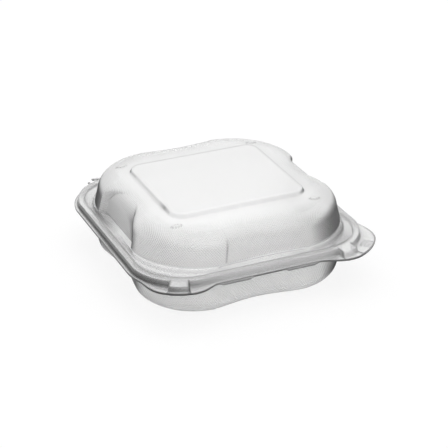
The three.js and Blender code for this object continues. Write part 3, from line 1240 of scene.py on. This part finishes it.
@dataclass(frozen=True)
class ClearSheet:
    """Clear formed sheet, more or less hazy, with painted shade in its colour where it is seen edge-on and
    where the piece notes shade.

    Attributes:
        name: The finish's name.
        clearness: Share of the light that goes through.
        roughness: Mean roughness.
        bending: How strongly it bends light.
        tint: Brightness looked at straight.
        grazing_shade_tint: Painted shade, the brightness looked at edge-on, where it is upright.
        level_share: Share of that darkening where it lies level.
        turned_from: How far it is turned away where the darkening starts.
        turned_to: The same where it is full.
        shade: How much of the painted shade noted on the piece is taken off the brightness.
        haze_scale: Fineness of the haze.
        haze_detail: Detail of the haze.
        haze_depth: How far the haze moves the roughness.
    """

    name: str
    clearness: float
    roughness: float
    bending: float = 1.5
    tint: float = 0.99
    grazing_shade_tint: float = 0.05
    level_share: float = 0.1
    turned_from: float = 0.4
    turned_to: float = 0.85
    shade: float = 0.9
    haze_scale: float = 60.0
    haze_detail: float = 4.0
    haze_depth: float = 0.08

    def build(self) -> bpy.types.Material:
        """Builds the material.

        Returns:
            The material.
        """
        material = bpy.data.materials.new(self.name)
        material.use_nodes = True
        tree = material.node_tree
        shader = tree.nodes["Principled BSDF"]
        shader.inputs["Transmission Weight"].default_value = self.clearness
        shader.inputs["IOR"].default_value = self.bending
        tree.links.new(self.hazed_roughness(tree), shader.inputs["Roughness"])
        # Painted shade: the base colour darkens edge-on and where shade is noted on the piece.
        colour = math_node(tree, "MULTIPLY", self.grazing_painted_shade(tree), self.light_left_by_painted_shade(tree))
        tree.links.new(colour, shader.inputs["Base Color"])
        return material

    def hazed_roughness(self, tree: bpy.types.NodeTree) -> bpy.types.NodeSocket:
        """Roughness with a soft haze in it.

        Args:
            tree: The material's node tree.

        Returns:
            The socket with the roughness.
        """
        coords = tree.nodes.new("ShaderNodeTexCoord")
        haze = tree.nodes.new("ShaderNodeTexNoise")
        haze.inputs["Scale"].default_value = self.haze_scale
        haze.inputs["Detail"].default_value = self.haze_detail
        tree.links.new(coords.outputs["Object"], haze.inputs["Vector"])
        least = self.roughness - self.haze_depth / 2
        return math_node(tree, "MULTIPLY_ADD", haze.outputs["Fac"], self.haze_depth, least)

    def grazing_painted_shade(self, tree: bpy.types.NodeTree) -> bpy.types.NodeSocket:
        """Painted shade: brightness that falls as the sheet turns edge-on, less where it lies level.

        Args:
            tree: The material's node tree.

        Returns:
            The socket with the brightness.
        """
        outline = tree.nodes.new("ShaderNodeLayerWeight")
        outline.inputs["Blend"].default_value = 0.5
        ends = (self.turned_from, self.turned_to)
        turned = range_node(tree, outline.outputs["Facing"], source=ends, smooth=True)
        surface = tree.nodes.new("ShaderNodeNewGeometry")
        axes = tree.nodes.new("ShaderNodeSeparateXYZ")
        tree.links.new(surface.outputs["Normal"], axes.inputs["Vector"])
        tilt = math_node(tree, "ABSOLUTE", axes.outputs["Z"])
        upright = range_node(tree, tilt, target=(1.0, self.level_share))
        share = math_node(tree, "MULTIPLY", turned, upright)
        return range_node(tree, share, target=(self.tint, self.grazing_shade_tint))

    def light_left_by_painted_shade(self, tree: bpy.types.NodeTree) -> bpy.types.NodeSocket:
        """Light that is left where the piece has painted shade noted on it.

        Args:
            tree: The material's node tree.

        Returns:
            The socket with the share of light.
        """
        noted = tree.nodes.new("ShaderNodeAttribute")
        noted.attribute_name = "shade"
        return range_node(tree, noted.outputs["Fac"], target=(1.0, 1.0 - self.shade))


@dataclass(frozen=True)
class Floor:
    """A white floor that glossy and clear things see as white too."""

    size: float = 8.0
    drop: float = 0.2 * MM
    brightness: float = 0.9
    roughness: float = 0.9
    shadow_share: float = 0.15

    def build(self) -> None:
        """Builds the floor just under the container."""
        mesh = bmesh.new()
        bmesh.ops.create_grid(mesh, x_segments=1, y_segments=1, size=self.size)
        floor = place_piece("floor", mesh)
        floor.location.z = -self.drop
        floor.data.materials.append(self.finish())

    def finish(self) -> bpy.types.Material:
        """The floor's finish.

        Returns:
            A material that gives off white to what sees it and keeps a share of the shadow.
        """
        material = bpy.data.materials.new("white_floor")
        material.use_nodes = True
        tree = material.node_tree
        shader = tree.nodes["Principled BSDF"]
        shader.inputs["Base Color"].default_value = grey(self.brightness)
        shader.inputs["Roughness"].default_value = self.roughness
        light = tree.nodes.new("ShaderNodeEmission")
        path = tree.nodes.new("ShaderNodeLightPath")
        seen = path.outputs["Is Camera Ray"]
        total = math_node(tree, "MULTIPLY", seen, 1.0 - self.shadow_share)
        for ray in ("Is Transmission Ray", "Is Glossy Ray"):
            total = math_node(tree, "ADD", total, path.outputs[ray])
            total.node.use_clamp = True
        mix = tree.nodes.new("ShaderNodeMixShader")
        tree.links.new(total, mix.inputs["Fac"])
        tree.links.new(shader.outputs["BSDF"], mix.inputs[1])
        tree.links.new(light.outputs["Emission"], mix.inputs[2])
        tree.links.new(mix.outputs["Shader"], tree.nodes["Material Output"].inputs["Surface"])
        return material


@dataclass(frozen=True)
class Sky:
    """Soft light from above that falls off towards both sides."""

    overhead: float = 1.25
    horizon: float = 1.25
    left_shade: float = 0.1
    right_shade: float = 0.3
    horizon_place: float = 0.35
    overhead_from: float = 0.1
    overhead_to: float = 0.8

    def build(self) -> None:
        """Builds the world's light."""
        world = bpy.data.worlds.new("studio")
        world.use_nodes = True
        tree = world.node_tree
        coords = tree.nodes.new("ShaderNodeTexCoord")
        axes = tree.nodes.new("ShaderNodeSeparateXYZ")
        tree.links.new(coords.outputs["Generated"], axes.inputs["Vector"])
        sideways = tree.nodes.new("ShaderNodeValToRGB")
        ramp = sideways.color_ramp
        ramp.elements[0].color = grey(self.left_shade)
        ramp.elements[-1].color = grey(self.right_shade)
        ramp.elements.new(self.horizon_place).color = grey(self.horizon)
        level = range_node(tree, axes.outputs["X"], source=(-1.0, 1.0))
        tree.links.new(level, sideways.inputs["Fac"])
        ends = (self.overhead_from, self.overhead_to)
        height = range_node(tree, axes.outputs["Z"], source=ends, smooth=True)
        mix = tree.nodes.new("ShaderNodeMix")
        mix.data_type = "RGBA"
        mix.inputs["B"].default_value = grey(self.overhead)
        tree.links.new(height, mix.inputs["Factor"])
        tree.links.new(sideways.outputs["Color"], mix.inputs["A"])
        tree.links.new(mix.outputs["Result"], tree.nodes["Background"].inputs["Color"])
        bpy.context.scene.world = world


@dataclass(frozen=True)
class Lamp:
    """A square soft light that points at the container."""

    name: str = "key_light"
    place: tuple[float, float, float] = (0.0, -0.3, 1.6)
    aim: tuple[float, float, float] = (0.0, 0.0, 0.03)
    size: float = 0.9
    power: float = 3.5

    def build(self) -> None:
        """Builds the lamp."""
        data = bpy.data.lights.new(self.name, "AREA")
        data.size = self.size
        data.energy = self.power
        lamp = bpy.data.objects.new(self.name, data)
        lamp.location = self.place
        beam = Vector(self.aim) - Vector(self.place)
        lamp.rotation_euler = beam.to_track_quat("-Z", "Y").to_euler()
        bpy.context.scene.collection.objects.link(lamp)


@dataclass(frozen=True)
class Viewpoint:
    """The camera, at the photograph's viewpoint."""

    azimuth: float = math.radians(-24.31)
    elevation: float = math.radians(27.08)
    distance: float = 1.2189
    target: tuple[float, float, float] = (-0.0033, -0.0235, 0.042)
    focal_px: float = 1500.0
    sensor: float = 36.0
    clip_end: float = 50.0

    def build(self) -> None:
        """Builds the camera from its angles and distance."""
        data = bpy.data.cameras.new("camera")
        data.sensor_width = self.sensor
        data.lens = self.focal_px / FRAME_WIDTH_PX * self.sensor
        data.clip_end = self.clip_end
        camera = bpy.data.objects.new("camera", data)
        back = Vector(
            (
                math.sin(self.azimuth) * math.cos(self.elevation),
                -math.cos(self.azimuth) * math.cos(self.elevation),
                math.sin(self.elevation),
            )
        )
        camera.location = Vector(self.target) + back * self.distance
        camera.rotation_euler = back.to_track_quat("Z", "Y").to_euler()
        bpy.context.scene.collection.objects.link(camera)
        bpy.context.scene.camera = camera


def main(joints: list[dict]) -> None:
    """Builds the container and its studio.

    Args:
        joints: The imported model's joints.
    """
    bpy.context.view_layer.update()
    lid = Lid("lid_shell", "lid", "lid")
    base = Base(
        "base_shell",
        "base",
        "base_tray",
        dips=Dips(depth=5 * MM, alcove_depth=0.0),
        drop=lid.sheet.drop,
    )
    joint = next(joint for joint in joints if joint["name"] == "lid_hinge")
    hinge = LivingHinge(lid.sheet, lid.hinge, Vector(joint["pos_m"]))
    finishes = [
        ClearSheet("polished_sheet", clearness=0.78, roughness=0.08).build(),
        ClearSheet("diamond_sheet", clearness=0.5, roughness=0.2, bending=1.12).build(),
        # Its dark tint is painted shade for the dark edge lines between the lips.
        ClearSheet("cut_edge", clearness=0.5, roughness=0.3, tint=0.25, grazing_shade_tint=0.15).build(),
    ]
    for maker in (base, lid, hinge):
        piece = maker.build()
        for finish in finishes:
            piece.data.materials.append(finish)
        log.info("built %s with %d faces", piece.name, len(piece.data.polygons))
    for stage in (Floor(), Sky(), Lamp(), Viewpoint()):
        stage.build()
    bpy.context.scene.view_settings.view_transform = "Standard"


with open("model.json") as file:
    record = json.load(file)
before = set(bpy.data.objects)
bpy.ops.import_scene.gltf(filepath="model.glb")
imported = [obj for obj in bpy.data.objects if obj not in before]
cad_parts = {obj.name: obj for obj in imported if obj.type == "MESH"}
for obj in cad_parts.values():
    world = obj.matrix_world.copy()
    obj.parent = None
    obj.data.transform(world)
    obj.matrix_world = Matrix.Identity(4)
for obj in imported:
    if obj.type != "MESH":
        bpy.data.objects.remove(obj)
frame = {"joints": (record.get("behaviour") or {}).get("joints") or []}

if __name__ == "__main__":
    logging.basicConfig(level=logging.INFO)
    main(frame["joints"])
